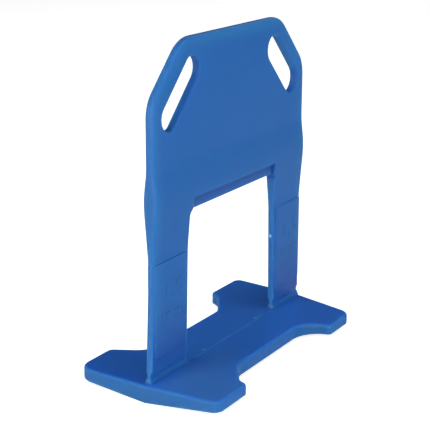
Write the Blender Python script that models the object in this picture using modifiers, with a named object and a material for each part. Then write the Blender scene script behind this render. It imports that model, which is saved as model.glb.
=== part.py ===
"""Tile levelling clip, moulded in one piece.

The plate stands in the XZ plane with its front face towards -Y. The base lies
under it, with its keel line on z = 0 and the origin below the middle of the plate.
"""

import math

import bmesh
import bpy
from mathutils import Matrix, Vector

MM = 0.001

# Plate, seen from the front
CLIP_HEIGHT = 60.0 * MM
PLATE_WIDTH = 52.5 * MM
SHOULDER_CUT = 9.75 * MM
SHOULDER_TOP_RADIUS = 7.0 * MM
SHOULDER_SIDE_RADIUS = 6.0 * MM

# Window between the legs
WINDOW_WIDTH = 30.4 * MM
WINDOW_FOOT_WIDTH = 31.7 * MM
WINDOW_TOP = 30.7 * MM
WINDOW_CORNER_RADIUS = 1.2 * MM
LIP_HEIGHT = 1.9 * MM
LIP_THICKNESS = 1.2 * MM

# Slanted slots in the shoulders
SLOT_WIDTH = 4.85 * MM
SLOT_CENTRES_APART = 9.7 * MM
SLOT_INSET = 5.4 * MM
SLOT_SLIDE = 0.35 * MM

# Thickness of the plate from the top down
HEAD_THICKNESS = 1.5 * MM
SWELL_START = 39.2 * MM
SWELL_THICKNESS = 2.5 * MM
SWELL_HEIGHT = 34.5 * MM
LEG_TOP_THICKNESS = 1.0 * MM
LEG_TOP_HEIGHT = 24.2 * MM
LEG_FOOT_THICKNESS = 1.5 * MM
PLATE_EDGE_ROUND = 0.25 * MM

# Break groove and foot, heights measured from the top of the base
GROOVE_TOP = 2.4 * MM
GROOVE_NECK_HIGH = 1.5 * MM
GROOVE_NECK_LOW = 1.2 * MM
GROOVE_THICKNESS = 0.72 * MM
FOOT_THICKNESS = 1.8 * MM

# Raised spacer panel on both faces of each leg
PANEL_THICKNESS = 1.6 * MM
PANEL_INSET = 0.45 * MM
PANEL_BOTTOM = 7.3 * MM
PANEL_TOP = 23.7 * MM
PANEL_BEVEL = 0.12 * MM

# Base, section across the plate
BASE_THICKNESS = 3.1 * MM
BASE_EDGE_THICKNESS = 1.96 * MM
BASE_EDGE_ROUND = 0.45 * MM

# Base, plan
FRONT_REACH = 14.3 * MM
BACK_REACH = 14.6 * MM
WAIST_FRONT = 8.8 * MM
WAIST_BACK = 8.15 * MM
LEFT_END_MARGIN = 2.0 * MM
RIGHT_END_MARGIN = 0.2 * MM
LEFT_FRONT_SWEEP = 0.35 * MM
LEFT_BACK_SWEEP = 1.15 * MM
RIGHT_FRONT_SWEEP = 4.35 * MM
RIGHT_BACK_SWEEP = -1.75 * MM
LEFT_FRONT_LOBE = 9.45 * MM
LEFT_BACK_LOBE = 9.6 * MM
RIGHT_FRONT_LOBE = 8.9 * MM
RIGHT_BACK_LOBE = 10.3 * MM
HOOK_BEND_RUN = 1.0 * MM
HOOK_BEND_DROP = 2.1 * MM
HOOK_SLOPE = math.radians(30.5)
LEFT_BACK_FLANK_RUN = 3.3 * MM
END_CORNER_RADIUS = 1.5 * MM
LEFT_BACK_RADIUS = 3.2 * MM
RIGHT_FRONT_RADIUS = 3.0 * MM
HOOK_CORNER_RADIUS = 1.4 * MM
HOOK_BEND_RADIUS = 2.0 * MM
SQUARE_CORNER_RADIUS = 0.7 * MM
SQUARE_WAIST_RADIUS = 4.5 * MM
WAIST_RADIUS = 4.0 * MM

# Thin raised line on the base between the legs
RIDGE_WIDTH = 0.7 * MM
RIDGE_HEIGHT = 0.14 * MM

# Modelling values
ARC_STEP = math.radians(11.25)
CUT_MARGIN = 1.0 * MM
SINK = 0.6 * MM
FILLET_ROOM = 0.96
FLAT_ANGLE = math.radians(0.2)
MERGE_DISTANCE = 0.000001

PLASTIC_BLUE = (0.030, 0.128, 0.405, 1.0)
PLASTIC_ROUGHNESS = 0.38

FRONT_PLANE = Matrix(((1, 0, 0), (0, 0, -1), (0, 1, 0))).to_4x4()
SIDE_PLANE = Matrix(((0, 0, 1), (1, 0, 0), (0, 1, 0))).to_4x4()
PLAN_PLANE = Matrix.Identity(4)


def clear_scene():
    for item in list(bpy.data.objects):
        bpy.data.objects.remove(item, do_unlink=True)


def new_collection(name):
    collection = bpy.data.collections.new(name)
    bpy.context.scene.collection.children.link(collection)
    return collection


def rounded(corners):
    """Turn (x, y, radius) corners into a closed outline with arcs at the corners."""
    outline = []
    count = len(corners)
    places = [Vector((x, y)) for x, y, radius in corners]
    sides = [places[(index + 1) % count] - places[index] for index in range(count)]
    turns = [sides[index - 1].angle(sides[index]) for index in range(count)]
    wanted = [corners[index][2] * math.tan(turns[index] / 2) for index in range(count)]
    for index, corner in enumerate(places):
        before = -sides[index - 1]
        after = sides[index]
        turn = turns[index]
        if wanted[index] <= 0 or turn < ARC_STEP / 4:
            outline.append(corner)
            continue
        room_before = before.length / (wanted[index - 1] + wanted[index])
        room_after = after.length / (wanted[(index + 1) % count] + wanted[index])
        reach = wanted[index] * min(1, FILLET_ROOM * room_before, FILLET_ROOM * room_after)
        radius = reach / math.tan(turn / 2)
        inward = (before.normalized() + after.normalized()).normalized()
        centre = corner + inward * (radius / math.cos(turn / 2))
        start = corner + before.normalized() * reach - centre
        side = 1 if before.cross(after) < 0 else -1
        steps = max(2, round(turn / ARC_STEP))
        for step in range(steps + 1):
            swing = Matrix.Rotation(side * turn * step / steps, 2)
            outline.append(centre + swing @ start)
    return outline


def stadium(centre, direction, apart, width):
    """Outline of a round ended slot."""
    along = direction.normalized() * (apart / 2)
    radius = width / 2
    steps = round(math.pi / ARC_STEP)
    heading = math.atan2(direction.y, direction.x)
    outline = []
    for end, turn in ((1, -math.pi / 2), (-1, math.pi / 2)):
        for step in range(steps + 1):
            angle = heading + turn + math.pi * step / steps
            arm = Vector((math.cos(angle), math.sin(angle))) * radius
            outline.append(centre + along * end + arm)
    return outline


def slab(name, outlines, half_depth, plane, collection, shift=Vector((0, 0, 0))):
    """Solid mesh from flat outlines, with depth to both sides of their plane."""
    curve = bpy.data.curves.new(name, "CURVE")
    curve.dimensions = "2D"
    curve.fill_mode = "BOTH"
    curve.extrude = half_depth
    for outline in outlines:
        spline = curve.splines.new("POLY")
        spline.points.add(len(outline) - 1)
        for point, place in zip(spline.points, outline):
            point.co = (place[0], place[1], 0, 1)
        spline.use_cyclic_u = True
    drawing = bpy.data.objects.new(name + "_drawing", curve)
    drawing.matrix_world = Matrix.Translation(shift) @ plane
    collection.objects.link(drawing)
    bpy.context.view_layer.update()
    graph = bpy.context.evaluated_depsgraph_get()
    mesh = bpy.data.meshes.new_from_object(drawing.evaluated_get(graph))
    mesh.name = name
    work = bmesh.new()
    work.from_mesh(mesh)
    bmesh.ops.remove_doubles(work, verts=work.verts, dist=MERGE_DISTANCE)
    bmesh.ops.dissolve_limit(work, angle_limit=FLAT_ANGLE, verts=work.verts, edges=work.edges)
    bmesh.ops.recalc_face_normals(work, faces=work.faces)
    work.to_mesh(mesh)
    work.free()
    solid = bpy.data.objects.new(name, mesh)
    solid.matrix_world = drawing.matrix_world.copy()
    collection.objects.link(solid)
    bpy.data.objects.remove(drawing, do_unlink=True)
    return solid


def as_cutter(item):
    item.hide_render = True
    item.display_type = "WIRE"
    return item


def boolean(item, other, operation):
    modifier = item.modifiers.new(operation.lower() + "_" + other.name, "BOOLEAN")
    modifier.operation = operation
    modifier.solver = "EXACT"
    modifier.object = other


def bevel(item, width, segments, angle):
    modifier = item.modifiers.new("rounded_edges", "BEVEL")
    modifier.width = width
    modifier.segments = segments
    modifier.limit_method = "ANGLE"
    modifier.angle_limit = angle


def base_half_length():
    return PLATE_WIDTH / 2 + max(LEFT_END_MARGIN, RIGHT_END_MARGIN, -RIGHT_BACK_SWEEP) + CUT_MARGIN


def half_thickness(height):
    """Half the thickness of the plate at a height above the break groove."""
    stations = [
        (BASE_THICKNESS + GROOVE_TOP, LEG_FOOT_THICKNESS / 2),
        (LEG_TOP_HEIGHT, LEG_TOP_THICKNESS / 2),
        (SWELL_HEIGHT, SWELL_THICKNESS / 2),
        (SWELL_START, HEAD_THICKNESS / 2),
        (CLIP_HEIGHT, HEAD_THICKNESS / 2),
    ]
    for (low, thin), (high, thick) in zip(stations, stations[1:]):
        if height <= high:
            return thin + (thick - thin) * (height - low) / (high - low)
    return HEAD_THICKNESS / 2


def plate_outline():
    side = PLATE_WIDTH / 2
    inner = WINDOW_WIDTH / 2
    foot = WINDOW_FOOT_WIDTH / 2
    buried = BASE_THICKNESS - SINK
    right_half = [
        (side, buried, 0),
        (side, CLIP_HEIGHT - SHOULDER_CUT, SHOULDER_SIDE_RADIUS),
        (side - SHOULDER_CUT, CLIP_HEIGHT, SHOULDER_TOP_RADIUS),
    ]
    left_half = [(-x, z, radius) for x, z, radius in reversed(right_half)]
    window = [
        (-foot, buried, 0),
        (-inner, LEG_TOP_HEIGHT, 0),
        (-inner, WINDOW_TOP, WINDOW_CORNER_RADIUS),
        (inner, WINDOW_TOP, WINDOW_CORNER_RADIUS),
        (inner, LEG_TOP_HEIGHT, 0),
        (foot, buried, 0),
    ]
    return rounded(right_half + left_half + window)


def slot_outline(side):
    diagonal = math.sqrt(0.5)
    middle_x = PLATE_WIDTH / 2 - SHOULDER_CUT / 2 - (SLOT_INSET - SLOT_SLIDE) * diagonal
    middle_z = CLIP_HEIGHT - SHOULDER_CUT / 2 - (SLOT_INSET + SLOT_SLIDE) * diagonal
    centre = Vector((side * middle_x, middle_z))
    return stadium(centre, Vector((-side, 1)), SLOT_CENTRES_APART, SLOT_WIDTH)


def plate_section():
    """Outline of the plate seen from the side, as (y, z) points."""
    top = BASE_THICKNESS
    front = [
        (FOOT_THICKNESS / 2, top - SINK - CUT_MARGIN),
        (FOOT_THICKNESS / 2, top),
        (GROOVE_THICKNESS / 2, top + GROOVE_NECK_LOW),
        (GROOVE_THICKNESS / 2, top + GROOVE_NECK_HIGH),
        (LEG_FOOT_THICKNESS / 2, top + GROOVE_TOP),
        (LEG_TOP_THICKNESS / 2, LEG_TOP_HEIGHT),
        (SWELL_THICKNESS / 2, SWELL_HEIGHT),
        (HEAD_THICKNESS / 2, SWELL_START),
        (HEAD_THICKNESS / 2, CLIP_HEIGHT + CUT_MARGIN),
    ]
    return front + [(-y, z) for y, z in reversed(front)]


def make_plate(cutters):
    outlines = [plate_outline(), slot_outline(-1), slot_outline(1)]
    plate = slab("plate", outlines, SWELL_THICKNESS, FRONT_PLANE, cutters)
    section = slab("plate_section", [plate_section()], PLATE_WIDTH, SIDE_PLANE, cutters)
    boolean(plate, as_cutter(section), "INTERSECT")
    bevel(plate, PLATE_EDGE_ROUND, 2, math.radians(60))
    for name, side in (("front_lip_cut", -1), ("back_lip_cut", 1)):
        boolean(plate, make_lip_cut(name, side, cutters), "DIFFERENCE")
    return as_cutter(plate)


def make_lip_cut(name, side, cutters):
    """Wedge that thins the plate towards the top edge of the window."""
    upper = half_thickness(WINDOW_TOP + LIP_HEIGHT)
    lower = LIP_THICKNESS / 2
    slope = (upper - lower) / LIP_HEIGHT
    start = WINDOW_TOP - CUT_MARGIN
    outer = SWELL_THICKNESS
    wedge = [
        (side * (lower - slope * CUT_MARGIN), start),
        (side * upper, WINDOW_TOP + LIP_HEIGHT),
        (side * outer, WINDOW_TOP + LIP_HEIGHT),
        (side * outer, start),
    ]
    half_width = WINDOW_WIDTH / 2 - WINDOW_CORNER_RADIUS
    return as_cutter(slab(name, [wedge], half_width, SIDE_PLANE, cutters))


def make_panel(name, side, cutters):
    """Spacer panel that runs through one leg and stands proud of both its faces."""
    leg_width = (PLATE_WIDTH - WINDOW_FOOT_WIDTH) / 2
    middle = side * (PLATE_WIDTH / 2 - leg_width / 2)
    half_width = leg_width / 2 - PANEL_INSET
    outline = [
        (-half_width, PANEL_BOTTOM),
        (half_width, PANEL_BOTTOM),
        (half_width, PANEL_TOP),
        (-half_width, PANEL_TOP),
    ]
    shift = Vector((middle, 0, 0))
    panel = slab(name, [outline], PANEL_THICKNESS / 2, FRONT_PLANE, cutters, shift)
    bevel(panel, PANEL_BEVEL, 1, math.radians(60))
    return as_cutter(panel)


def make_ridge(cutters):
    """Low line on the base that joins the feet of the legs."""
    crown = BASE_THICKNESS + RIDGE_HEIGHT
    section = [
        (-RIDGE_WIDTH / 2, BASE_THICKNESS - SINK),
        (RIDGE_WIDTH / 2, BASE_THICKNESS - SINK),
        (RIDGE_WIDTH / 2, BASE_THICKNESS),
        (RIDGE_WIDTH / 5, crown),
        (-RIDGE_WIDTH / 5, crown),
        (-RIDGE_WIDTH / 2, BASE_THICKNESS),
    ]
    half_length = WINDOW_FOOT_WIDTH / 2 + SINK
    return as_cutter(slab("ridge", [section], half_length, SIDE_PLANE, cutters))


def base_outline():
    """Plan of the base: four unlike lobes around a narrower waist."""
    left = -PLATE_WIDTH / 2 - LEFT_END_MARGIN
    right = PLATE_WIDTH / 2 + RIGHT_END_MARGIN
    left_front = left + LEFT_FRONT_SWEEP
    left_back = left + LEFT_BACK_SWEEP
    right_front = right - RIGHT_FRONT_SWEEP
    right_back = right - RIGHT_BACK_SWEEP
    front_hook = left_front + LEFT_FRONT_LOBE
    back_hook = right_back - RIGHT_BACK_LOBE
    square = right_front - RIGHT_FRONT_LOBE
    flank = left_back + LEFT_BACK_LOBE
    drop = FRONT_REACH - HOOK_BEND_DROP - WAIST_FRONT
    front_foot = front_hook + HOOK_BEND_RUN + drop / math.tan(HOOK_SLOPE)
    drop = BACK_REACH - HOOK_BEND_DROP - WAIST_BACK
    back_foot = back_hook - HOOK_BEND_RUN - drop / math.tan(HOOK_SLOPE)
    return rounded([
        (left, 0, 0),
        (left_front, -FRONT_REACH, END_CORNER_RADIUS),
        (front_hook, -FRONT_REACH, HOOK_CORNER_RADIUS),
        (front_hook + HOOK_BEND_RUN, -FRONT_REACH + HOOK_BEND_DROP, HOOK_BEND_RADIUS),
        (front_foot, -WAIST_FRONT, WAIST_RADIUS),
        (square, -WAIST_FRONT, SQUARE_WAIST_RADIUS),
        (square, -FRONT_REACH, SQUARE_CORNER_RADIUS),
        (right_front, -FRONT_REACH, RIGHT_FRONT_RADIUS),
        (right, 0, 0),
        (right_back, BACK_REACH, END_CORNER_RADIUS),
        (back_hook, BACK_REACH, HOOK_CORNER_RADIUS),
        (back_hook - HOOK_BEND_RUN, BACK_REACH - HOOK_BEND_DROP, HOOK_BEND_RADIUS),
        (back_foot, WAIST_BACK, WAIST_RADIUS),
        (flank + LEFT_BACK_FLANK_RUN, WAIST_BACK, WAIST_RADIUS),
        (flank, BACK_REACH, END_CORNER_RADIUS),
        (left_back, BACK_REACH, LEFT_BACK_RADIUS),
    ])


def base_section():
    """Flat top over a shallow keel, as (y, z) points."""
    reach = max(FRONT_REACH, BACK_REACH)
    rise = (BASE_THICKNESS - BASE_EDGE_THICKNESS) / reach
    outer = reach + CUT_MARGIN
    return [
        (-outer, rise * outer),
        (0, 0),
        (outer, rise * outer),
        (outer, BASE_THICKNESS + CUT_MARGIN),
        (-outer, BASE_THICKNESS + CUT_MARGIN),
    ]


def make_clip(parts, cutters):
    clip = slab("levelling_clip", [base_outline()], BASE_THICKNESS, PLAN_PLANE, parts)
    bevel(clip, BASE_EDGE_ROUND, 2, math.radians(45))
    section = slab("base_section", [base_section()], base_half_length(), SIDE_PLANE, cutters)
    boolean(clip, as_cutter(section), "INTERSECT")
    boolean(clip, make_ridge(cutters), "UNION")
    boolean(clip, make_plate(cutters), "UNION")
    boolean(clip, make_panel("left_panel", -1, cutters), "UNION")
    boolean(clip, make_panel("right_panel", 1, cutters), "UNION")
    clip.data.materials.append(make_plastic())
    clip.data.shade_smooth()
    clip.data.set_sharp_from_angle(angle=math.radians(25))
    return clip


def make_plastic():
    plastic = bpy.data.materials.new("blue_plastic")
    plastic.use_nodes = True
    shader = plastic.node_tree.nodes["Principled BSDF"]
    shader.inputs["Base Color"].default_value = PLASTIC_BLUE
    shader.inputs["Roughness"].default_value = PLASTIC_ROUGHNESS
    shader.inputs["Metallic"].default_value = 0.0
    return plastic


def main():
    clear_scene()
    parts = new_collection("tile_levelling_clip")
    cutters = new_collection("cutters")
    make_clip(parts, cutters)


main()
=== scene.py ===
"""Tile levelling clip: the moulded part, its marks, and a plain studio around it.

The plate stands in the XZ plane with its front face towards -Y. The base lies under
it, with its keel line on z = 0.
"""

import math

import bmesh
import bpy
from bpy.props import FloatProperty, FloatVectorProperty, PointerProperty, StringProperty
from mathutils import Matrix, Vector


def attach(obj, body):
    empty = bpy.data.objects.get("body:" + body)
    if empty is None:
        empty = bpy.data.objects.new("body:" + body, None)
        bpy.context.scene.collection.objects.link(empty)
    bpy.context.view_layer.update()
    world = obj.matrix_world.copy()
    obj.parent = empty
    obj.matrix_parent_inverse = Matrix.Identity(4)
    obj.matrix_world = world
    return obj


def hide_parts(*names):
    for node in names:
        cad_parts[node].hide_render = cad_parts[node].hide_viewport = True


bl_info = {
    "name": "Tile Levelling Clip",
    "version": (1, 0, 0),
    "blender": (4, 5, 0),
    "location": "3D View > Sidebar > Tile Clip",
    "description": "Builds a moulded tile levelling clip with its marks and a studio",
    "category": "Object",
}

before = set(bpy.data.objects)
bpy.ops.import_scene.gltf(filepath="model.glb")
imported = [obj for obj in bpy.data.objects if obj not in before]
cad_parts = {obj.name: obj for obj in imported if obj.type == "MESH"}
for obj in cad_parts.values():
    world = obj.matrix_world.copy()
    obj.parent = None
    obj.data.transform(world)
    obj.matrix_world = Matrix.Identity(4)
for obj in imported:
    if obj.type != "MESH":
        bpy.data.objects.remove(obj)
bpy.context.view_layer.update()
CAD_NODE = "levelling_clip"

MM = 0.001
MERGE_DISTANCE = 0.001 * MM
NEAR = 0.2 * MM  # how close an edge or a point counts as on a line
CUT_MARGIN = 1.0 * MM  # how far a cutting solid passes what it cuts
SINK = 0.6 * MM  # how deep a joined solid reaches into the next
FILLET_ROOM = 0.96  # share of a side that the arcs at its ends may take
DIAGONAL = math.sqrt(0.5)

ARC_STEP = math.radians(5)
FLAT_ANGLE = math.radians(0.1)
SHARP_ANGLE = math.radians(32)
PLATE_EDGE_ANGLE = math.radians(60)
BASE_RIM_ANGLE = math.radians(45)
KEEL_EDGE_ANGLE = math.radians(50)
FOOT_EDGE_ANGLE = math.radians(20)

# Zones of painted light and shade: a mask's ramp over one part of the normal, from 0 to 1
FACE_FACING = (0.92, 1.0)
WALL_FACING = (0.97, 0.6)
UPRIGHT_FACING = (0.95, 0.5)
ENDWISE_FACING = (0.2, 0.7)
SLOT_WALL_FACING = (0.998, 0.8)
SLOT_ROOF_FACING = (-0.7, -0.4)
BASE_TOP_FACING = (0.9, 1.0)

# Zones of painted light and shade: places and ramps in metres
SLOT_EDGE_GAP = 1.5 * MM
LIP_ZONE = 5.0 * MM
LIP_BLEND = 0.6 * MM
LOBE_RUN = (-4.0 * MM, -20.0 * MM)
LOBE_SIDE = (-0.5 * MM, -4.0 * MM)

GRAIN_SHARE = 0.12  # height of the grain against the mottle
GLOSS_SPREAD = 0.05
RELIEF_DEPTH = 0.02 * MM
NIB_STRETCH = 1.5
MIX_FROM, MIX_TO, MIX_RESULT = 6, 7, 2  # colour sockets of a mix node

SOCKETS = {
    str: "NodeSocketString",
    int: "NodeSocketInt",
    float: "NodeSocketFloat",
    Vector: "NodeSocketVector",
    bpy.types.Material: "NodeSocketMaterial",
}

FRONT_PLANE = Matrix(((1, 0, 0), (0, 0, -1), (0, 1, 0))).to_4x4()
SIDE_PLANE = Matrix(((0, 0, 1), (1, 0, 0), (0, 1, 0))).to_4x4()
PLAN_PLANE = Matrix.Identity(4)


def length(name, millimetres, description):
    return FloatProperty(
        name=name, description=description, default=millimetres * MM, unit="LENGTH", precision=5
    )


def angle(name, degrees, description):
    return FloatProperty(
        name=name, description=description, default=math.radians(degrees), subtype="ANGLE"
    )


def amount(name, value, description):
    return FloatProperty(name=name, description=description, default=value, precision=3)


def soft_lamp(name, watts, turn, rise):
    return FloatVectorProperty(
        name=name,
        description="Power in watts, then degrees around the clip and above the floor",
        default=(watts, turn, rise),
        size=3,
    )


def colour(name, value, description):
    return FloatVectorProperty(
        name=name, description=description, default=value, size=4, subtype="COLOR", min=0, max=1
    )


class PlateShape(bpy.types.PropertyGroup):
    height: length("Height", 60.25, "Height of the clip above the keel")
    width: length("Width", 52.8, "Width across the legs")
    rim_round: length("Rim round", 0.6, "Rounding around the outside of the plate")
    window_round: length("Window round", 0.3, "Rounding around the window")
    slot_round: length("Slot round", 0.36, "Rounding around the slots")
    edge_share: amount("Edge share", 0.84, "Largest edge round as a share of the half thickness")
    leg_spread: length("Leg spread", 0.8, "How far the left leg widens to its foot")
    leg_spread_height: length("Leg spread height", 19.0, "Height at which the widening starts")
    shoulder_cut: length("Shoulder cut", 9.6, "How far the slanted shoulders cut the corners")
    shoulder_top_radius: length("Shoulder top radius", 7.0, "Radius between shoulder and top")
    shoulder_side_radius: length("Shoulder side radius", 6.0, "Radius between shoulder and side")
    window_width: length("Window width", 30.4, "Width of the window at its top")
    window_foot_width: length("Window foot width", 31.7, "Width of the window at the base")
    window_top: length("Window top", 30.73, "Height of the top edge of the window")
    window_corner_radius: length("Window corner radius", 1.2, "Radius of the upper corners")
    lip_height: length("Lip height", 2.2, "Height of the thinned lip over the window")
    lip_thickness: length("Lip thickness", 1.1, "Thickness of the lip at the window")
    lip_step: length("Lip step", 0.8, "Height of the slope that leads into the lip")
    left_slot_run: length("Left slot run", 9.9, "Distance of the left slot's end centres")
    right_slot_run: length("Right slot run", 9.2, "Distance of the right slot's end centres")
    left_slot_width: length("Left slot width", 4.58, "Width of the left slot")
    left_slot_inset: length("Left slot inset", 5.74, "Distance of the slot from its shoulder")
    left_slot_slide: length("Left slot slide", 0.2, "How far the left slot sits down")
    right_slot_width: length("Right slot width", 5.03, "Width of the right slot")
    right_slot_inset: length("Right slot inset", 5.66, "Distance of the slot from its shoulder")
    right_slot_slide: length("Right slot slide", 0.38, "How far the right slot sits down")
    head_thickness: length("Head thickness", 1.64, "Thickness of the head")
    swell_start: length("Swell start", 39.2, "Height at which the head starts to thicken")
    swell_thickness: length("Swell thickness", 2.84, "Greatest thickness of the plate")
    swell_height: length("Swell height", 34.5, "Height of the thickest line")
    swell_radius: length("Swell radius", 20.0, "Rounding of the swell in section")
    leg_top_thickness: length("Leg top thickness", 1.12, "Thickness of the legs above the panels")
    leg_top_height: length("Leg top height", 24.2, "Height of the thinnest line of the legs")
    leg_foot_thickness: length("Leg foot thickness", 1.25, "Thickness above the break groove")
    groove_top: length("Groove top", 2.1, "Upper edge of the break groove above the base")
    groove_neck_high: length("Neck high", 1.5, "Upper end of the neck above the base")
    groove_neck_low: length("Neck low", 0.9, "Lower end of the neck above the base")
    groove_thickness: length("Groove thickness", 0.72, "Thickness of the neck that breaks")
    foot_thickness: length("Foot thickness", 1.4, "Thickness of the foot on the base")
    foot_spread: length("Foot spread", 0.15, "How far a foot passes the side of its leg")
    panel_thickness: length("Panel thickness", 1.6, "Thickness across both spacer panels")
    panel_inset: length("Panel inset", 0.4, "Distance of the panels from the leg's sides")
    panel_bottom: length("Panel bottom", 7.3, "Lower edge of the spacer panels")
    panel_top: length("Panel top", 23.7, "Upper edge of the spacer panels")
    panel_bevel: length("Panel bevel", 0.28, "Bevel around the spacer panels")


class BaseShape(bpy.types.PropertyGroup):
    thickness: length("Thickness", 3.1, "Thickness over the keel")
    front_edge_thickness: length("Front edge thickness", 1.85, "Thickness at the front edge")
    back_edge_thickness: length("Back edge thickness", 2.15, "Thickness at the back edge")
    edge_round: length("Edge round", 0.45, "Rounding of the upper edge")
    lower_edge_round: length("Lower edge round", 0.08, "Rounding of the lower edge")
    front_reach: length("Front reach", 14.3, "Reach of the front lobes")
    back_reach: length("Back reach", 14.75, "Reach of the back lobes")
    waist_front: length("Waist front", 8.8, "Reach of the waist to the front")
    waist_back: length("Waist back", 8.4, "Reach of the waist to the back")
    left_end_margin: length("Left end margin", 2.0, "How far the base passes the left leg")
    right_end_margin: length("Right end margin", 0.2, "How far the base passes the right leg")
    left_front_sweep: length("Left front sweep", 0.35, "Setback of the left front corner")
    left_back_sweep: length("Left back sweep", 1.15, "Setback of the left back corner")
    right_front_sweep: length("Right front sweep", 4.35, "Setback of the right front corner")
    right_back_sweep: length("Right back sweep", -1.75, "Setback of the right back corner")
    left_front_lobe: length("Left front lobe", 9.75, "Length of the left front lobe")
    left_back_lobe: length("Left back lobe", 9.6, "Length of the left back lobe")
    right_front_lobe: length("Right front lobe", 8.9, "Length of the right front lobe")
    right_back_lobe: length("Right back lobe", 10.6, "Length of the right back lobe")
    hook_bend_run: length("Hook bend run", 0.7, "Run of the steep part of a hooked lobe")
    hook_bend_drop: length("Hook bend drop", 2.1, "Drop of the steep part of a hooked lobe")
    hook_slope: angle("Hook slope", 30.5, "Slope from the hook to the waist")
    left_back_flank_run: length("Left back flank run", 3.3, "Run of the left back flank")
    end_corner_radius: length("End corner radius", 1.5, "Radius of the outer corners")
    left_back_radius: length("Left back radius", 3.2, "Radius of the left back corner")
    right_front_radius: length("Right front radius", 3.0, "Radius of the right front corner")
    hook_corner_radius: length("Hook corner radius", 1.8, "Radius of the tips of the hooks")
    hook_bend_radius: length("Hook bend radius", 3.2, "Radius of the bend below a hook")
    square_corner_radius: length("Square corner radius", 0.7, "Radius of the square corner")
    square_waist_radius: length("Square waist radius", 4.5, "Radius beside the square lobe")
    waist_radius: length("Waist radius", 4.0, "Radius at the ends of the waist")
    ridge_width: length("Ridge width", 1.5, "Width of the low strip between the feet")
    ridge_height: length("Ridge height", 0.07, "Height of the low strip between the feet")


class ClipMarks(bpy.types.PropertyGroup):
    digits: StringProperty(name="Digits", description="Joint width", default="1,5")
    unit: StringProperty(name="Unit", description="Unit of the joint width", default="mm")
    digit_size: length("Digit size", 3.9, "Size of the digits")
    unit_size: length("Unit size", 3.4, "Size of the unit")
    digit_height: length("Digit height", 18.4, "Height of the middle of the digits")
    unit_height: length("Unit height", 14.2, "Height of the middle of the unit")
    stretch: amount("Stretch", 1.33, "Width of the letters against their height")
    mark_shift: length("Mark shift", 0.25, "Sideways place of the marks on the panels")
    depth: length("Depth", 0.1, "Depth of the marks")
    pip_radius: length("Pip radius", 0.7, "Radius of the gate pips on the base")
    pip_height: length("Pip height", 0.3, "Height of the gate pips")
    pip_spacing: length("Pip spacing", 18.7, "Distance between the gate pips")
    pip_middle: length("Pip middle", 0.45, "Sideways place of the middle between the pips")
    nib_radius: length("Nib radius", 0.3, "Size of the nib on the wall of the window")
    nib_place: FloatVectorProperty(
        name="Nib place",
        description="Place of the nib on the wall of the window",
        default=(15.5 * MM, 0.03 * MM, 18.05 * MM),
        size=3,
        subtype="TRANSLATION",
    )


class ClipPlastic(bpy.types.PropertyGroup):
    blue: colour("Blue", (0.0175, 0.149, 0.465, 1), "Colour of the plastic")
    deep_blue: colour("Deep blue", (0.016, 0.140, 0.440, 1), "Colour in the mottled parts")
    # Painted light: a lighter blue along the rim, in place of the light that the thin rounded rim
    # catches
    rim_blue: colour("Rim blue", (0.026, 0.190, 0.46, 1), "Colour along the plate's outer rim")
    rim_reach: length("Rim reach", 3.0, "How far the rim's colour reaches into the faces")
    # Painted sheen: a greyer blue on the narrow walls and the base's end walls, in place of
    # reflected light
    wall_blue: colour("Wall blue", (0.026, 0.138, 0.365, 1), "Colour of the narrow walls")
    # Painted shade: a darker blue on the walls inside the slots
    slot_blue: colour("Slot blue", (0.019, 0.112, 0.36, 1), "Colour of the walls in the slots")
    # Painted shade: a darker blue on the lip over the window
    lip_blue: colour("Lip blue", (0.020, 0.112, 0.39, 1), "Colour of the lip over the window")
    # Painted shade: a darker blue low on the legs, near the base
    leg_blue: colour("Leg blue", (0.022, 0.112, 0.40, 1), "Colour low on the legs")
    # Painted highlight: a pale blue on the nib, in place of the glint that it catches
    pale_blue: colour("Pale blue", (0.13, 0.34, 0.62, 1), "Colour of the torn nib")
    shade_top: length("Shade top", 16.0, "Height at which the legs start to darken")
    shade_foot: length("Shade foot", 7.0, "Height at which the legs are darkest")
    # Painted shade: a deeper blue on the top of the base
    base_blue: colour("Base blue", (0.022, 0.142, 0.55, 1), "Colour of the top of the base")
    # Painted sheen: a paler, greyer blue on the base's left front lobe
    corner_blue: colour("Corner blue", (0.040, 0.163, 0.49, 1), "Colour of the left front lobe")
    roughness: amount("Roughness", 0.38, "Roughness of the moulded faces")
    mark_roughness: amount("Mark roughness", 0.45, "Roughness inside the size marks")
    mottle_scale: amount("Mottle scale", 160.0, "Fineness of the slow mottle")
    grain_scale: amount("Grain scale", 2600.0, "Fineness of the grain")
    flow: amount("Flow", 0.35, "Upward scale of the mottle, less where the plastic flowed long")
    light_depth: length("Light depth", 4.0, "How deep light travels in the plastic")
    body_relief: amount("Body relief", 0.5, "Strength of the fine relief on the faces")
    mark_relief: amount("Mark relief", 1.0, "Strength of the fine relief inside the marks")


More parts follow.
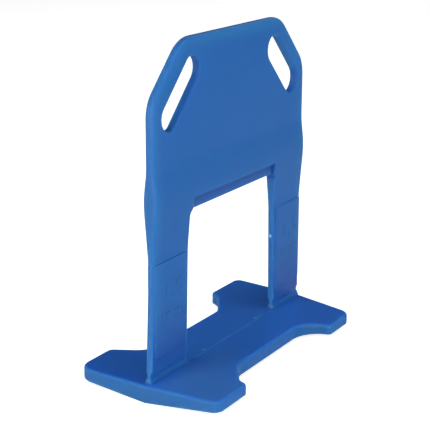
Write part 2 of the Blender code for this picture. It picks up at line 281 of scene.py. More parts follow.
class ClipStage(bpy.types.PropertyGroup):
    floor_size: length("Floor size", 960.0, "Side of the floor")
    floor_colour: colour("Floor colour", (0.86, 0.86, 0.86, 1), "Pale floor")
    floor_white: amount("Floor white", 0.8, "Plain white that the camera sees over the lit floor")
    world_level: amount("World level", 0.03, "Strength of the even light")
    lamp_distance: length("Lamp distance", 600.0, "Distance of the lamps from the clip")
    lamp_size: length("Lamp size", 320.0, "Side of the square lamps")
    left_lamp: soft_lamp("Left lamp", 1.75, 183, 9)
    back_left_lamp: soft_lamp("Back left lamp", 0.85, 150, 9)
    high_left_lamp: soft_lamp("High left lamp", 1.15, 170, 52)
    front_left_lamp: soft_lamp("Front left lamp", 1.4, 238, 9)
    front_lamp: soft_lamp("Front lamp", 0.6, 270, 12)
    high_front_lamp: soft_lamp("High front lamp", 0.7, 295, 58)
    right_lamp: soft_lamp("Right lamp", 0.25, 0, 28)
    azimuth: angle("Azimuth", 59.246, "Direction of the camera around the clip")
    elevation: angle("Elevation", 15.991, "How far the camera looks down")
    roll: angle("Roll", 0.236, "Tilt of the picture")
    lens: amount("Lens", 108.19, "Focal length on a 36 mm frame")
    distance: length("Distance", 232.881, "Distance of the camera along its view")
    slide_right: length("Slide right", -2.796, "Sideways place of the camera")
    slide_up: length("Slide up", -3.912, "Upward place of the camera")


LAMPS = (
    "left_lamp", "back_left_lamp", "high_left_lamp", "front_left_lamp", "front_lamp",
    "high_front_lamp", "right_lamp",
)


def rounded(corners):
    """Turn (x, y, radius) corners into a closed outline with arcs at the corners."""
    outline = []
    count = len(corners)
    places = [Vector((x, y)) for x, y, radius in corners]
    sides = [places[(index + 1) % count] - places[index] for index in range(count)]
    turns = [sides[index - 1].angle(sides[index]) for index in range(count)]
    wanted = [corners[index][2] * math.tan(turns[index] / 2) for index in range(count)]
    for index, corner in enumerate(places):
        before = -sides[index - 1]
        after = sides[index]
        turn = turns[index]
        if wanted[index] <= 0:
            outline.append(corner)
            continue
        room_before = before.length / (wanted[index - 1] + wanted[index])
        room_after = after.length / (wanted[(index + 1) % count] + wanted[index])
        reach = wanted[index] * min(1, FILLET_ROOM * room_before, FILLET_ROOM * room_after)
        radius = reach / math.tan(turn / 2)
        inward = (before.normalized() + after.normalized()).normalized()
        centre = corner + inward * (radius / math.cos(turn / 2))
        start = corner + before.normalized() * reach - centre
        side = 1 if before.cross(after) < 0 else -1
        steps = max(3, round(turn / ARC_STEP))
        for step in range(steps + 1):
            swing = Matrix.Rotation(side * turn * step / steps, 2)
            outline.append(centre + swing @ start)
    return outline


def slab(name, outlines, half_depth, plane, shift=Vector((0, 0, 0))):
    """Solid mesh from flat outlines, with depth to both sides of their plane."""
    curve = bpy.data.curves.new(name, "CURVE")
    curve.dimensions = "2D"
    curve.fill_mode = "BOTH"
    curve.extrude = half_depth
    for outline in outlines:
        spline = curve.splines.new("POLY")
        spline.points.add(len(outline) - 1)
        for point, place in zip(spline.points, outline):
            point.co = (place[0], place[1], 0, 1)
        spline.use_cyclic_u = True
    drawing = bpy.data.objects.new(name + "_drawing", curve)
    bpy.context.scene.collection.objects.link(drawing)
    solid = as_mesh(drawing, name)
    solid.data.transform(Matrix.Translation(shift) @ plane)
    work = bmesh.new()
    work.from_mesh(solid.data)
    bmesh.ops.remove_doubles(work, verts=work.verts, dist=MERGE_DISTANCE)
    bmesh.ops.dissolve_limit(work, angle_limit=FLAT_ANGLE, verts=work.verts, edges=work.edges)
    bmesh.ops.recalc_face_normals(work, faces=work.faces)
    work.to_mesh(solid.data)
    work.free()
    return solid


def as_mesh(item, name):
    """Replace an object by the plain mesh that its curve or modifiers make."""
    bpy.context.view_layer.update()
    graph = bpy.context.evaluated_depsgraph_get()
    mesh = bpy.data.meshes.new_from_object(item.evaluated_get(graph))
    mesh.name = name
    bpy.data.objects.remove(item, do_unlink=True)
    solid = bpy.data.objects.new(name, mesh)
    bpy.context.scene.collection.objects.link(solid)
    return solid


def bevel(item, width, segments, limit):
    modifier = item.modifiers.new("rounded_edges", "BEVEL")
    modifier.width = width
    modifier.segments = segments
    modifier.limit_method = "ANGLE"
    modifier.angle_limit = limit
    modifier.use_clamp_overlap = False
    return modifier


def round_plate(item, plate):
    """Round the edges of the plate: full at its rim, less at the window and the slots."""
    work = bmesh.new()
    work.from_mesh(item.data)
    weights = work.edges.layers.float.new("bevel_weight_edge")
    for edge in work.edges:
        if edge.calc_face_angle(0) > PLATE_EDGE_ANGLE:
            middle = (edge.verts[0].co + edge.verts[1].co) / 2
            wanted = edge_round(middle, plate)
            depth = min(abs(vertex.co.y) for vertex in edge.verts)
            edge[weights] = min(wanted, plate.edge_share * depth) / plate.rim_round
    work.to_mesh(item.data)
    work.free()
    modifier = bevel(item, plate.rim_round, segments=5, limit=PLATE_EDGE_ANGLE)
    modifier.limit_method = "WEIGHT"


def edge_round(place, plate):
    """Rounding that an edge of the plate gets at this place."""
    side = math.copysign(1, place.x)
    spot = Vector((place.x, place.z))
    centre, width, run = slot_place(plate, side)
    along = Vector((-side, 1)).normalized()
    reach = max(-run / 2, min(run / 2, along.dot(spot - centre)))
    if (spot - centre - along * reach).length < width / 2 + NEAR:
        return plate.slot_round
    if abs(spot.x) < plate.window_foot_width / 2 + NEAR and spot.y < plate.window_top + NEAR:
        return plate.window_round
    return plate.rim_round


def combine(item, others, operation):
    """Join other solids to an item, or cut them out of it, and use them up."""
    name = item.name
    for other in others:
        modifier = item.modifiers.new(operation.lower(), "BOOLEAN")
        modifier.operation = operation
        modifier.solver = "EXACT"
        modifier.material_mode = "TRANSFER"
        modifier.object = other
    solid = as_mesh(item, name)
    for other in others:
        bpy.data.objects.remove(other, do_unlink=True)
    return solid


def plate_outline(plate, base):
    side = plate.width / 2
    inner = plate.window_width / 2
    foot = plate.window_foot_width / 2
    buried = base.thickness - SINK
    right_half = [
        (side, buried, 0),
        (side, plate.height - plate.shoulder_cut, plate.shoulder_side_radius),
        (side - plate.shoulder_cut, plate.height, plate.shoulder_top_radius),
    ]
    left_half = [(-x, z, radius) for x, z, radius in reversed(right_half[1:])]
    left_half += [(-side, plate.leg_spread_height, 0), (-side - plate.leg_spread, buried, 0)]
    window = [
        (-foot, buried, 0),
        (-inner, plate.leg_top_height, 0),
        (-inner, plate.window_top, plate.window_corner_radius),
        (inner, plate.window_top, plate.window_corner_radius),
        (inner, plate.leg_top_height, 0),
        (foot, buried, 0),
    ]
    return rounded(right_half + left_half + window)


def slot_place(plate, side):
    """Middle, as (x, z), width and run of the slot on one side of the head."""
    hand = "left" if side < 0 else "right"
    width, run, inset, slide = (
        getattr(plate, f"{hand}_slot_{size}") for size in ("width", "run", "inset", "slide")
    )
    middle_x = plate.width / 2 - plate.shoulder_cut / 2 - (inset - slide) * DIAGONAL
    middle_z = plate.height - plate.shoulder_cut / 2 - (inset + slide) * DIAGONAL
    return Vector((side * middle_x, middle_z)), width, run


def slot_outline(plate, side):
    """Outline of a round ended slot that runs along its shoulder."""
    centre, width, run = slot_place(plate, side)
    along = Vector((-side, 1)).normalized() * (run / 2)
    steps = round(math.pi / ARC_STEP)
    heading = math.atan2(1, -side)
    outline = []
    for end, turn in ((1, -math.pi / 2), (-1, math.pi / 2)):
        for step in range(steps + 1):
            swing = heading + turn + math.pi * step / steps
            arm = Vector((math.cos(swing), math.sin(swing))) * (width / 2)
            outline.append(centre + along * end + arm)
    return outline


def plate_section(plate, base):
    """Outline of the plate seen from the side, as (y, z) points."""
    top = base.thickness
    swell = plate.swell_radius
    front = [
        (plate.groove_thickness / 2, top - SINK - CUT_MARGIN, 0),
        (plate.groove_thickness / 2, top + plate.groove_neck_high, 0),
        (plate.leg_foot_thickness / 2, top + plate.groove_top, 0),
        (plate.leg_top_thickness / 2, plate.leg_top_height, swell),
        (plate.swell_thickness / 2, plate.swell_height, swell),
        (plate.head_thickness / 2, plate.swell_start, swell),
        (plate.head_thickness / 2, plate.height + CUT_MARGIN, 0),
    ]
    return rounded(front + [(-y, z, radius) for y, z, radius in reversed(front)])


def lip_cut(plate, name, side):
    """Recess that thins the plate along the top edge of the window."""
    rise = plate.swell_height - plate.leg_top_height
    gain = (plate.swell_thickness - plate.leg_top_thickness) / 2
    start = plate.window_top + plate.lip_height
    upper = plate.leg_top_thickness / 2 + gain * (start - plate.leg_top_height) / rise
    lower = plate.lip_thickness / 2
    recess = [
        (side * lower, plate.window_top - CUT_MARGIN),
        (side * lower, start - plate.lip_step),
        (side * upper, start),
        (side * plate.swell_thickness, start + plate.lip_step),
        (side * plate.swell_thickness, plate.window_top - CUT_MARGIN),
    ]
    half_width = plate.window_width / 2 - plate.window_corner_radius / 2
    return slab(name, [recess], half_width, SIDE_PLANE)


def leg_place(plate):
    """Width of a leg at its foot, and the distance of its middle from the clip's."""
    width = (plate.width - plate.window_foot_width) / 2
    return width, (plate.width - width) / 2


def spacer_panel(plate, name, side):
    """Spacer panel that runs through one leg and stands proud of both its faces."""
    leg_width, leg_middle = leg_place(plate)
    half_width = leg_width / 2 - plate.panel_inset
    outline = [
        (-half_width, plate.panel_bottom),
        (half_width, plate.panel_bottom),
        (half_width, plate.panel_top),
        (-half_width, plate.panel_top),
    ]
    shift = Vector((side * leg_middle, 0, 0))
    panel = slab(name, [outline], plate.panel_thickness / 2, FRONT_PLANE, shift)
    bevel(panel, plate.panel_bevel, segments=2, limit=PLATE_EDGE_ANGLE)
    return as_mesh(panel, name)


def leg_foot(plate, base, name, outer, inner):
    """Flared foot that joins the neck of one leg to the base."""
    spread = math.copysign(plate.foot_spread, inner - outer)
    top = base.thickness + plate.groove_neck_low
    rings = [
        (base.thickness - SINK, outer - spread, inner + spread, plate.foot_thickness / 2),
        (base.thickness, outer - spread, inner + spread, plate.foot_thickness / 2),
        (top, outer, inner, plate.groove_thickness / 2),
    ]
    work = bmesh.new()
    for height, start, end, depth in rings:
        for x, y in ((start, -depth), (start, depth), (end, -depth), (end, depth)):
            work.verts.new((x, y, height))
    bmesh.ops.convex_hull(work, input=work.verts)
    bmesh.ops.dissolve_limit(work, angle_limit=FLAT_ANGLE, verts=work.verts, edges=work.edges)
    mesh = bpy.data.meshes.new(name)
    work.to_mesh(mesh)
    work.free()
    foot = bpy.data.objects.new(name, mesh)
    bpy.context.scene.collection.objects.link(foot)
    bevel(foot, plate.panel_bevel / 2, segments=2, limit=FOOT_EDGE_ANGLE)
    return as_mesh(foot, name)


def base_outline(plate, base):
    """Plan of the base: four unlike lobes around a narrower waist."""
    left = -plate.width / 2 - base.left_end_margin
    right = plate.width / 2 + base.right_end_margin
    left_front = left + base.left_front_sweep
    left_back = left + base.left_back_sweep
    right_front = right - base.right_front_sweep
    right_back = right - base.right_back_sweep
    front_hook = left_front + base.left_front_lobe
    back_hook = right_back - base.right_back_lobe
    square = right_front - base.right_front_lobe
    flank = left_back + base.left_back_lobe
    front_bend = base.front_reach - base.hook_bend_drop
    back_bend = base.back_reach - base.hook_bend_drop
    slope = math.tan(base.hook_slope)
    front_foot = front_hook + base.hook_bend_run + (front_bend - base.waist_front) / slope
    back_foot = back_hook - base.hook_bend_run - (back_bend - base.waist_back) / slope
    return rounded([
        (left, 0, 0),
        (left_front, -base.front_reach, base.end_corner_radius),
        (front_hook, -base.front_reach, base.hook_corner_radius),
        (front_hook + base.hook_bend_run, -front_bend, base.hook_bend_radius),
        (front_foot, -base.waist_front, base.waist_radius),
        (square, -base.waist_front, base.square_waist_radius),
        (square, -base.front_reach, base.square_corner_radius),
        (right_front, -base.front_reach, base.right_front_radius),
        (right, 0, 0),
        (right_back, base.back_reach, base.end_corner_radius),
        (back_hook, base.back_reach, base.hook_corner_radius),
        (back_hook - base.hook_bend_run, back_bend, base.hook_bend_radius),
        (back_foot, base.waist_back, base.waist_radius),
        (flank + base.left_back_flank_run, base.waist_back, base.waist_radius),
        (flank, base.back_reach, base.end_corner_radius),
        (left_back, base.back_reach, base.left_back_radius),
    ])


def base_section(base):
    """Flat top over a shallow keel, as (y, z) points."""
    outer = max(base.front_reach, base.back_reach) + CUT_MARGIN
    front_edge = (base.thickness - base.front_edge_thickness) / base.front_reach * outer
    back_edge = (base.thickness - base.back_edge_thickness) / base.back_reach * outer
    return [
        (-outer, front_edge),
        (0, 0),
        (outer, back_edge),
        (outer, base.thickness + CUT_MARGIN),
        (-outer, base.thickness + CUT_MARGIN),
    ]


def ridge_section(base):
    crown = base.thickness + base.ridge_height
    return [
        (-base.ridge_width / 2, base.thickness - SINK),
        (base.ridge_width / 2, base.thickness - SINK),
        (base.ridge_width / 2, base.thickness),
        (base.ridge_width / 2 - base.ridge_height, crown),
        (base.ridge_height - base.ridge_width / 2, crown),
        (-base.ridge_width / 2, base.thickness),
    ]


def painted(name, material):
    """A solid that an earlier step has built, in one material."""
    solid = bpy.data.objects.get(name)
    if solid is None:
        raise RuntimeError(f"{name} has to be built before the moulding")
    solid.data.materials.clear()
    solid.data.materials.append(material)
    return solid


class Graph:
    """Short way to write a node tree: nodes by type, links by socket."""

    def __init__(self, tree):
        self.tree = tree

    def node(self, kind, inputs=None, **settings):
        made = self.tree.nodes.new(kind)
        for key, value in settings.items():
            setattr(made, key, value)
        for key, value in (inputs or {}).items():
            self.feed(value, made.inputs[key])
        return made

    def feed(self, value, socket):
        if isinstance(value, bpy.types.NodeSocket):
            self.tree.links.new(value, socket)
        else:
            socket.default_value = value

    def result(self, kind, inputs=None, **settings):
        """First output of a new node."""
        return self.node(kind, inputs, **settings).outputs[0]

    def math(self, operation, *values):
        return self.result("ShaderNodeMath", dict(enumerate(values)), operation=operation)

    def product(self, first, *others):
        for other in others:
            first = self.math("MULTIPLY", first, other)
        return first

    def vector(self, x=0.0, y=0.0, z=0.0):
        return self.result("ShaderNodeCombineXYZ", {"X": x, "Y": y, "Z": z})

    def ramp(self, value, low, high, start=0.0, end=1.0):
        """Straight ramp between start, where the value is low, and end, where it is high."""
        limits = {"From Min": low, "From Max": high, "To Min": start, "To Max": end}
        return self.result("ShaderNodeMapRange", {"Value": value, **limits})

    def joined(self, *parts):
        join = self.node("GeometryNodeJoinGeometry")
        for part in parts:
            self.tree.links.new(part, join.inputs[0])
        return join.outputs[0]


def geometry_tree(layout, values):
    """Geometry tree of a layout function, built once, with a named input for each value."""
    tree = bpy.data.node_groups.get(layout.__name__)
    if tree:
        return tree
    tree = bpy.data.node_groups.new(layout.__name__, "GeometryNodeTree")
    tree.interface.new_socket("Geometry", in_out="INPUT", socket_type="NodeSocketGeometry")
    for label, value in values.items():
        tree.interface.new_socket(label, in_out="INPUT", socket_type=SOCKETS[type(value)])
    tree.interface.new_socket("Geometry", in_out="OUTPUT", socket_type="NodeSocketGeometry")
    graph = Graph(tree)
    given = graph.node("NodeGroupInput").outputs
    real = graph.result("GeometryNodeRealizeInstances", {"Geometry": layout(graph, given)})
    finish = {"Geometry": real, "Material": given["Material"]}
    graph.node("NodeGroupOutput", {0: graph.result("GeometryNodeSetMaterial", finish)})
    return tree


def run_geometry(name, layout, values):
    """Plain mesh that the tree of a layout function makes from these values."""
    tree = geometry_tree(layout, values)
    holder = bpy.data.objects.new(name, bpy.data.meshes.new(name))
    bpy.context.scene.collection.objects.link(holder)
    modifier = holder.modifiers.new(name, "NODES")
    modifier.node_group = tree
    for item in tree.interface.items_tree:
        if item.in_out == "INPUT" and item.name in values:
            modifier[item.identifier] = values[item.name]
    return as_mesh(holder, name)


def size_mark_stamps(graph, given):
    """Size marks as stamps on the front and back panel of both legs."""
    lines = []
    for line in ("Digit", "Unit"):
        letters = graph.node(
            "GeometryNodeStringToCurves",
            {"String": given[line + " Text"], "Size": given[line + " Size"]},
            align_x="CENTER",
            align_y="MIDDLE",
        )
        lines.append(graph.result("GeometryNodeTransform", {
            "Geometry": letters.outputs["Curve Instances"],
            "Translation": graph.vector(given["Shift"], given[line + " Height"]),
            "Scale": graph.vector(given["Stretch"], 1.0, 1.0),
        }))
    curves = graph.result("GeometryNodeRealizeInstances", {"Geometry": graph.joined(*lines)})
    letters = graph.result("GeometryNodeFillCurve", {"Curve": curves}, mode="NGONS")
    raised = graph.node("GeometryNodeExtrudeMesh", {
        "Mesh": letters,
        "Offset Scale": graph.product(given["Depth"], 2.0),
        "Individual": False,
    })
    back = graph.result("GeometryNodeFlipFaces", {"Mesh": letters})
    welded = graph.result("GeometryNodeMergeByDistance", {
        "Geometry": graph.joined(raised.outputs["Mesh"], back),
        "Distance": MERGE_DISTANCE,
    })
    stamp = graph.result("GeometryNodeTransform", {
        "Geometry": welded,
        "Translation": graph.vector(z=graph.product(given["Depth"], -1.0)),
    })
    left = graph.product(given["Leg Place"], -1.0)
    front = graph.product(given["Face Place"], -1.0)
    legs = graph.result("GeometryNodeMeshLine", {
        "Count": 2,
        "Start Location": graph.vector(left, front),
        "Offset": graph.vector(graph.product(given["Leg Place"], 2.0)),
    })
    stamps = graph.result("GeometryNodeInstanceOnPoints", {
        "Points": legs,
        "Instance": stamp,
        "Rotation": (math.pi / 2, 0, 0),
    })
    half_turn = {"Geometry": stamps, "Rotation": (0, 0, math.pi)}
    return graph.joined(stamps, graph.result("GeometryNodeTransform", half_turn))


def round_pips(graph, given):
    """Row of low round pips."""
    places = graph.result("GeometryNodeMeshLine", {
        "Count": given["Count"],
        "Start Location": given["Start"],
        "Offset": given["Step"],
    })
    dome = graph.result("GeometryNodeMeshUVSphere", {"Segments": 24, "Rings": 12, "Radius": 1.0})
    return graph.result("GeometryNodeInstanceOnPoints", {
        "Points": places,
        "Instance": dome,
        "Scale": given["Size"],
    })


def placed_group(graph, layout, values):
    """Outputs of a layout function's shader group, built once, placed with these values."""
    group = bpy.data.node_groups.get(layout.__name__)
    if group is None:
        group = bpy.data.node_groups.new(layout.__name__, "ShaderNodeTree")
        for label in values:
            group.interface.new_socket(label, in_out="INPUT", socket_type="NodeSocketFloat")
        inner = Graph(group)
        results = layout(inner, inner.node("NodeGroupInput").outputs)
        for label in results:
            group.interface.new_socket(label, in_out="OUTPUT", socket_type="NodeSocketFloat")
        inner.node("NodeGroupOutput", results)
    return graph.node("ShaderNodeGroup", values, node_tree=group).outputs


def moulded_surface(graph, given):
    """Slow mottle and fine grain of a moulded face, and the height that both give."""
    place = graph.node("ShaderNodeTexCoord").outputs["Object"]
    drawn = graph.vector(1.0, 1.0, given["Flow"])
    flow = graph.result("ShaderNodeVectorMath", {0: place, 1: drawn}, operation="MULTIPLY")
    mottle = graph.result(
        "ShaderNodeTexNoise", {"Vector": flow, "Scale": given["Mottle Scale"], "Detail": 3.0}
    )
    grain = graph.result(
        "ShaderNodeTexNoise", {"Vector": place, "Scale": given["Grain Scale"], "Detail": 2.0}
    )
    height = graph.math("MULTIPLY_ADD", grain, GRAIN_SHARE, mottle)
    return {"Mottle": mottle, "Grain": grain, "Height": height}


def surface_zones(graph, given):
    """Masks, from 0 to 1, for the zones where light and shade are painted into the blue."""
    calc, product, ramp = graph.math, graph.product, graph.ramp
    coordinates = graph.node("ShaderNodeTexCoord").outputs
    place = graph.node("ShaderNodeSeparateXYZ", {0: coordinates["Object"]}).outputs
    facing = graph.node("ShaderNodeSeparateXYZ", {0: coordinates["Normal"]}).outputs
    above_base = calc("GREATER_THAN", place["Z"], given["Base Top"])
    in_base = calc("SUBTRACT", 1.0, above_base)

    # Distance from the outline of the head: side, top and slanted shoulder
    across = calc("ABSOLUTE", place["X"])
    side = calc("SUBTRACT", given["Half Width"], across)
    top = calc("SUBTRACT", given["Height"], place["Z"])
    corner = calc("SUBTRACT", calc("ADD", side, top), given["Shoulder Cut"])
    slant = product(corner, DIAGONAL)
    nearest = calc("MINIMUM", calc("MINIMUM", side, top), slant)

    # Faces of the plate, with painted light at the rim and painted shade low on the legs
    depth = calc("ABSOLUTE", facing["Y"])
    face = product(ramp(depth, *FACE_FACING), above_base)
    near_rim = calc("SUBTRACT", 1.0, calc("DIVIDE", nearest, given["Reach"]))
    leg_shade_ramp = ramp(place["Z"], given["Shade Top"], given["Shade Foot"])

    # Narrow walls of the plate, and the walls at both ends of the base, for a painted sheen
    plate_wall = product(ramp(depth, *WALL_FACING), above_base)
    upright = ramp(calc("ABSOLUTE", facing["Z"]), *UPRIGHT_FACING)
    endwise = ramp(calc("ABSOLUTE", facing["X"]), *ENDWISE_FACING)
    base_end = product(upright, endwise, in_base)

    # Walls of the slots, apart from those that face the floor, for painted shade
    inside = calc("GREATER_THAN", nearest, SLOT_EDGE_GAP)
    in_head = calc("GREATER_THAN", place["Z"], given["Slot Foot"])
    slot_shade_mask = product(ramp(depth, *SLOT_WALL_FACING), ramp(facing["Z"], *SLOT_ROOF_FACING))

    # Lip over the window, for painted shade
    below_lip = calc("SUBTRACT", given["Lip Top"], place["Z"])
    near_lip = calc("LESS_THAN", below_lip, LIP_ZONE)
    in_window = calc("LESS_THAN", across, given["Window Half"])

    # Top of the base, for painted shade, and its left front lobe, for a painted sheen
    base_top = product(ramp(facing["Z"], *BASE_TOP_FACING), in_base)
    lobe = product(ramp(place["X"], *LOBE_RUN), ramp(place["Y"], *LOBE_SIDE))
    return {
        "Rim": product(face, ramp(near_rim, 0.0, 1.0)),
        "Wall": calc("ADD", plate_wall, base_end),
        "Slot Wall": product(slot_shade_mask, inside, in_head),
        "Lip": product(ramp(below_lip, 0.0, LIP_BLEND), near_lip, in_window),
        "Low Leg": product(face, leg_shade_ramp),
        "Base": base_top,
        "Base Corner": product(lobe, base_top),
    }


def zoned_blue(graph, mottle, scene):
    """Mottled blue of the body, with light and shade painted into each zone of its surface."""
    plate, plastic = scene.clip_plate, scene.clip_plastic
    zones = placed_group(graph, surface_zones, {
        "Half Width": plate.width / 2,
        "Height": plate.height,
        "Shoulder Cut": plate.shoulder_cut,
        "Slot Foot": plate.swell_start,
        "Base Top": scene.clip_base.thickness + NEAR,
        "Reach": plastic.rim_reach,
        "Shade Top": plastic.shade_top,
        "Shade Foot": plastic.shade_foot,
        "Lip Top": plate.window_top + plate.lip_height,
        "Window Half": plate.window_width / 2,
    })
    tint = plastic.deep_blue
    # The mottle is the plastic's own tone; each later layer paints light or shade into the blue
    for mask, blue in (
        (mottle, plastic.blue),
        (zones["Rim"], plastic.rim_blue),
        (zones["Wall"], plastic.wall_blue),
        (zones["Slot Wall"], plastic.slot_blue),
        (zones["Lip"], plastic.lip_blue),
        (zones["Low Leg"], plastic.leg_blue),
        (zones["Base"], plastic.base_blue),
        (zones["Base Corner"], plastic.corner_blue),
    ):
        colours = {"Factor": mask, MIX_FROM: tint, MIX_TO: blue}
        tint = graph.node("ShaderNodeMix", colours, data_type="RGBA").outputs[MIX_RESULT]
    return tint


def plastic_material(name, roughness, bump, plain_blue=None):
    """Semi-matt translucent blue plastic, built once under each name."""
    material = bpy.data.materials.get(name)
    if material:
        return material
    material = bpy.data.materials.new(name)
    material.use_nodes = True
    scene = bpy.context.scene
    plastic = scene.clip_plastic
    graph = Graph(material.node_tree)
    surface = placed_group(graph, moulded_surface, {
        "Mottle Scale": plastic.mottle_scale,
        "Grain Scale": plastic.grain_scale,
        "Flow": plastic.flow,
    })
    spread = (roughness - GLOSS_SPREAD, roughness + GLOSS_SPREAD)
    relief = {"Height": surface["Height"], "Strength": bump, "Distance": RELIEF_DEPTH}
    # The body's blue carries painted light and shade by zone; a plain blue replaces it, as on the
    # nib
    if plain_blue is None:
        tint = zoned_blue(graph, surface["Mottle"], scene)
    else:
        tint = plain_blue
    shader = material.node_tree.nodes["Principled BSDF"]
    for label, value in {
        "Base Color": tint,
        "Roughness": graph.ramp(surface["Grain"], 0.0, 1.0, *spread),
        "Normal": graph.result("ShaderNodeBump", relief),
        "IOR": 1.49,
        "Specular IOR Level": 0.2,
        "Subsurface Weight": 1.0,
        "Subsurface Radius": (0.6, 0.9, 1.0),
        "Subsurface Scale": plastic.light_depth,
    }.items():
        graph.feed(value, shader.inputs[label])
    return material


def body_plastic(plastic):
    return plastic_material("moulded_plastic", plastic.roughness, plastic.body_relief)


def mark_plastic(plastic):
    return plastic_material("mark_plastic", plastic.mark_roughness, plastic.mark_relief)


# Plain pale plastic that paints the nib's glint
def pale_plastic(plastic):
    return plastic_material(
        "pale_plastic", plastic.roughness, plastic.body_relief, plastic.pale_blue
    )


class TILECLIP_OT_base(bpy.types.Operator):
    """Build the keeled base with the low strip between the feet"""

    bl_idname = "tile_clip.base"
    bl_label = "Base"

    def execute(self, context):
        plate = context.scene.clip_plate
        base = context.scene.clip_base
        solid = slab("base", [base_outline(plate, base)], base.thickness, PLAN_PLANE)
        bevel(solid, base.edge_round, segments=4, limit=BASE_RIM_ANGLE)
        solid = as_mesh(solid, "base")
        keel = slab("keel", [base_section(base)], plate.width, SIDE_PLANE)
        solid = combine(solid, [keel], "INTERSECT")
        bevel(solid, base.lower_edge_round, segments=2, limit=KEEL_EDGE_ANGLE)
        solid = as_mesh(solid, "base")
        ridge_half = plate.window_foot_width / 2 + SINK
        ridge = slab("ridge", [ridge_section(base)], ridge_half, SIDE_PLANE)
        combine(solid, [ridge], "UNION")
        return {"FINISHED"}


class TILECLIP_OT_plate(bpy.types.Operator):
    """Build the plate with its window, slots, lips and spacer panels"""

    bl_idname = "tile_clip.plate"
    bl_label = "Plate"

    def execute(self, context):
        plate = context.scene.clip_plate
        base = context.scene.clip_base
        outlines = [plate_outline(plate, base), slot_outline(plate, -1), slot_outline(plate, 1)]
        solid = slab("plate", outlines, plate.swell_thickness, FRONT_PLANE)
        section = slab("section", [plate_section(plate, base)], plate.width, SIDE_PLANE)
        solid = combine(solid, [section], "INTERSECT")
        round_plate(solid, plate)
        solid = as_mesh(solid, "plate")
        cuts = [lip_cut(plate, "front_lip", -1), lip_cut(plate, "back_lip", 1)]
        solid = combine(solid, cuts, "DIFFERENCE")
        panels = [spacer_panel(plate, "left_panel", -1), spacer_panel(plate, "right_panel", 1)]
        combine(solid, panels, "UNION")
        return {"FINISHED"}


class TILECLIP_OT_feet(bpy.types.Operator):
    """Build the flared feet that carry the necks of both legs"""

    bl_idname = "tile_clip.feet"
    bl_label = "Feet"

    def execute(self, context):
        plate = context.scene.clip_plate
        base = context.scene.clip_base
        for name, side in (("left_foot", -1), ("right_foot", 1)):
            outer = side * plate.width / 2 - (plate.leg_spread if side < 0 else 0)
            inner = side * plate.window_foot_width / 2
            leg_foot(plate, base, name, outer, inner)
        return {"FINISHED"}


class TILECLIP_OT_pips(bpy.types.Operator):
    """Build the gate pips on the base and the nib on the wall of the window"""

    bl_idname = "tile_clip.pips"
    bl_label = "Pips"

    def execute(self, context):
        marks = context.scene.clip_marks
        plastic = context.scene.clip_plastic
        first = marks.pip_middle - marks.pip_spacing / 2
        run_geometry("gate_pips", round_pips, {
            "Count": 2,
            "Start": Vector((first, 0, context.scene.clip_base.thickness)),
            "Step": Vector((marks.pip_spacing, 0, 0)),
            "Size": Vector((marks.pip_radius, marks.pip_radius, marks.pip_height)),
            "Material": body_plastic(plastic),
        })
        # The nib's pale plastic paints the glint that it catches
        run_geometry("wall_nib", round_pips, {
            "Count": 1,
            "Start": Vector(marks.nib_place),
            "Step": Vector((0, 0, 0)),
            "Size": Vector((1, 1, NIB_STRETCH)) * marks.nib_radius,
            "Material": pale_plastic(plastic),
        })
        return {"FINISHED"}


class TILECLIP_OT_size_marks(bpy.types.Operator):
    """Build the stamps that sink the size marks into the spacer panels"""

    bl_idname = "tile_clip.size_marks"
    bl_label = "Size Marks"

    def execute(self, context):
        plate = context.scene.clip_plate
        marks = context.scene.clip_marks
        leg_middle = leg_place(plate)[1]
        run_geometry("size_marks", size_mark_stamps, {
            "Digit Text": marks.digits,
            "Unit Text": marks.unit,
            "Digit Size": marks.digit_size,
            "Unit Size": marks.unit_size,
            "Digit Height": marks.digit_height,
            "Unit Height": marks.unit_height,
            "Stretch": marks.stretch,
            "Shift": marks.mark_shift,
            "Leg Place": leg_middle,
            "Face Place": plate.panel_thickness / 2,
            "Depth": marks.depth,
            "Material": mark_plastic(context.scene.clip_plastic),
        })
        return {"FINISHED"}


class TILECLIP_OT_moulding(bpy.types.Operator):
    """Join base, plate, feet, pips and marks to one closed moulding in blue plastic"""

    bl_idname = "tile_clip.moulding"
    bl_label = "Moulding"

    def execute(self, context):
        plastic = context.scene.clip_plastic
        blue = body_plastic(plastic)
        clip = painted("base", blue)
        clip.name = clip.data.name = "moulded_clip"
        parts = [painted(name, blue) for name in ("plate", "left_foot", "right_foot", "gate_pips")]
        # The nib is made of the pale plastic that paints its glint
        parts.append(painted("wall_nib", pale_plastic(plastic)))
        clip = combine(clip, parts, "UNION")
        clip = combine(clip, [painted("size_marks", mark_plastic(plastic))], "DIFFERENCE")
        clip.data.shade_smooth()
        clip.data.set_sharp_from_angle(angle=SHARP_ANGLE)
        normals = clip.modifiers.new("face_weighted_normals", "WEIGHTED_NORMAL")
        normals.keep_sharp = True
        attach(clip, "root")
        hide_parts(CAD_NODE)
        return {"FINISHED"}


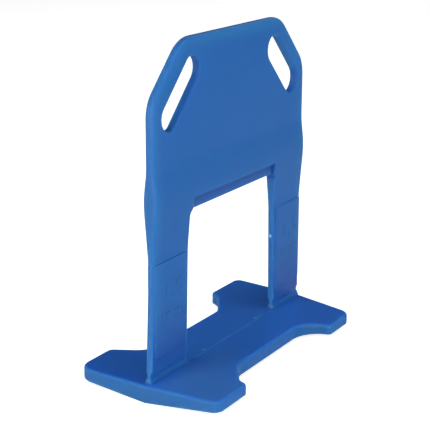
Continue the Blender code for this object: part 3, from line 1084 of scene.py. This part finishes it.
class TILECLIP_OT_stage(bpy.types.Operator):
    """Set up the floor, the light and the camera"""

    bl_idname = "tile_clip.stage"
    bl_label = "Stage"

    def execute(self, context):
        stage = context.scene.clip_stage
        self.floor(stage)
        self.world(context.scene, stage)
        aim = Vector((0, 0, context.scene.clip_plate.height / 2))
        for name in LAMPS:
            self.lamp(context.scene, stage, aim, name)
        self.camera(context.scene, stage, aim)
        context.scene.view_settings.view_transform = "Standard"
        return {"FINISHED"}

    def floor(self, stage):
        half = stage.floor_size / 2
        corners = [(-half, -half, 0), (half, -half, 0), (half, half, 0), (-half, half, 0)]
        mesh = bpy.data.meshes.new("floor")
        mesh.from_pydata(corners, [], [(0, 1, 2, 3)])
        floor = bpy.data.objects.new("floor", mesh)
        bpy.context.scene.collection.objects.link(floor)
        material = bpy.data.materials.new("floor_paper")
        material.use_nodes = True
        graph = Graph(material.node_tree)
        shader = material.node_tree.nodes["Principled BSDF"]
        shader.inputs["Base Color"].default_value = stage.floor_colour
        shader.inputs["Roughness"].default_value = 0.9
        seen = graph.node("ShaderNodeLightPath").outputs["Is Camera Ray"]
        glow = graph.result("ShaderNodeEmission", {
            "Color": (1, 1, 1, 1),
            "Strength": graph.product(seen, stage.floor_white),
        })
        both = graph.result("ShaderNodeAddShader", {0: shader.outputs[0], 1: glow})
        graph.feed(both, material.node_tree.nodes["Material Output"].inputs["Surface"])
        mesh.materials.append(material)

    def lamp(self, scene, stage, aim, name):
        power, turn, rise = getattr(stage, name)
        turn, rise = math.radians(turn), math.radians(rise)
        towards = Vector((
            math.cos(turn) * math.cos(rise), math.sin(turn) * math.cos(rise), math.sin(rise)
        ))
        data = bpy.data.lights.new(name, "AREA")
        data.shape = "SQUARE"
        data.size = stage.lamp_size
        data.energy = power
        lamp = bpy.data.objects.new(name, data)
        lamp.location = aim + towards * stage.lamp_distance
        lamp.rotation_euler = towards.to_track_quat("Z", "Y").to_euler()
        scene.collection.objects.link(lamp)

    def world(self, scene, stage):
        world = bpy.data.worlds.new("studio")
        world.use_nodes = True
        scene.world = world
        graph = Graph(world.node_tree)
        seen = graph.node("ShaderNodeLightPath").outputs["Is Camera Ray"]
        level = graph.ramp(seen, 0.0, 1.0, stage.world_level, 1.0)
        background = world.node_tree.nodes["Background"]
        background.inputs["Color"].default_value = (1, 1, 1, 1)
        graph.feed(level, background.inputs["Strength"])

    def camera(self, scene, stage, aim):
        turn, tilt = stage.azimuth, stage.elevation
        view = Vector((
            math.sin(turn) * math.cos(tilt), math.cos(turn) * math.cos(tilt), -math.sin(tilt)
        ))
        level_right = Vector((math.cos(turn), -math.sin(turn), 0))
        level_up = level_right.cross(view)
        right = level_right * math.cos(stage.roll) + level_up * math.sin(stage.roll)
        up = level_up * math.cos(stage.roll) - level_right * math.sin(stage.roll)
        data = bpy.data.cameras.new("camera")
        data.sensor_width = 36
        data.lens = stage.lens
        data.clip_start = 0.01
        data.clip_end = 20
        camera = bpy.data.objects.new("camera", data)
        axes = Matrix((right, up, -view)).transposed()
        place = aim - view * stage.distance + right * stage.slide_right + up * stage.slide_up
        camera.matrix_world = Matrix.Translation(place) @ axes.to_4x4()
        scene.collection.objects.link(camera)
        scene.camera = camera


class TILECLIP_PT_panel(bpy.types.Panel):
    bl_label = "Tile Clip"
    bl_idname = "TILECLIP_PT_panel"
    bl_space_type = "VIEW_3D"
    bl_region_type = "UI"
    bl_category = "Tile Clip"

    def draw(self, context):
        layout = self.layout
        for operator in OPERATORS:
            layout.operator(operator.bl_idname)
        for name, group in SETTINGS.items():
            box = layout.box()
            box.label(text=group.__name__)
            for key in group.__annotations__:
                box.prop(getattr(context.scene, name), key)


SETTINGS = {
    "clip_plate": PlateShape,
    "clip_base": BaseShape,
    "clip_marks": ClipMarks,
    "clip_plastic": ClipPlastic,
    "clip_stage": ClipStage,
}
OPERATORS = (
    TILECLIP_OT_base,
    TILECLIP_OT_plate,
    TILECLIP_OT_feet,
    TILECLIP_OT_pips,
    TILECLIP_OT_size_marks,
    TILECLIP_OT_moulding,
    TILECLIP_OT_stage,
)


def register():
    for cls in (*SETTINGS.values(), *OPERATORS, TILECLIP_PT_panel):
        bpy.utils.register_class(cls)
    for name, group in SETTINGS.items():
        setattr(bpy.types.Scene, name, PointerProperty(type=group))


def unregister():
    for name in SETTINGS:
        delattr(bpy.types.Scene, name)
    for cls in reversed((*SETTINGS.values(), *OPERATORS, TILECLIP_PT_panel)):
        bpy.utils.unregister_class(cls)


def main():
    register()
    bpy.ops.tile_clip.base()
    bpy.ops.tile_clip.plate()
    bpy.ops.tile_clip.feet()
    bpy.ops.tile_clip.pips()
    bpy.ops.tile_clip.size_marks()
    bpy.ops.tile_clip.moulding()
    bpy.ops.tile_clip.stage()


if __name__ == "__main__":
    main()
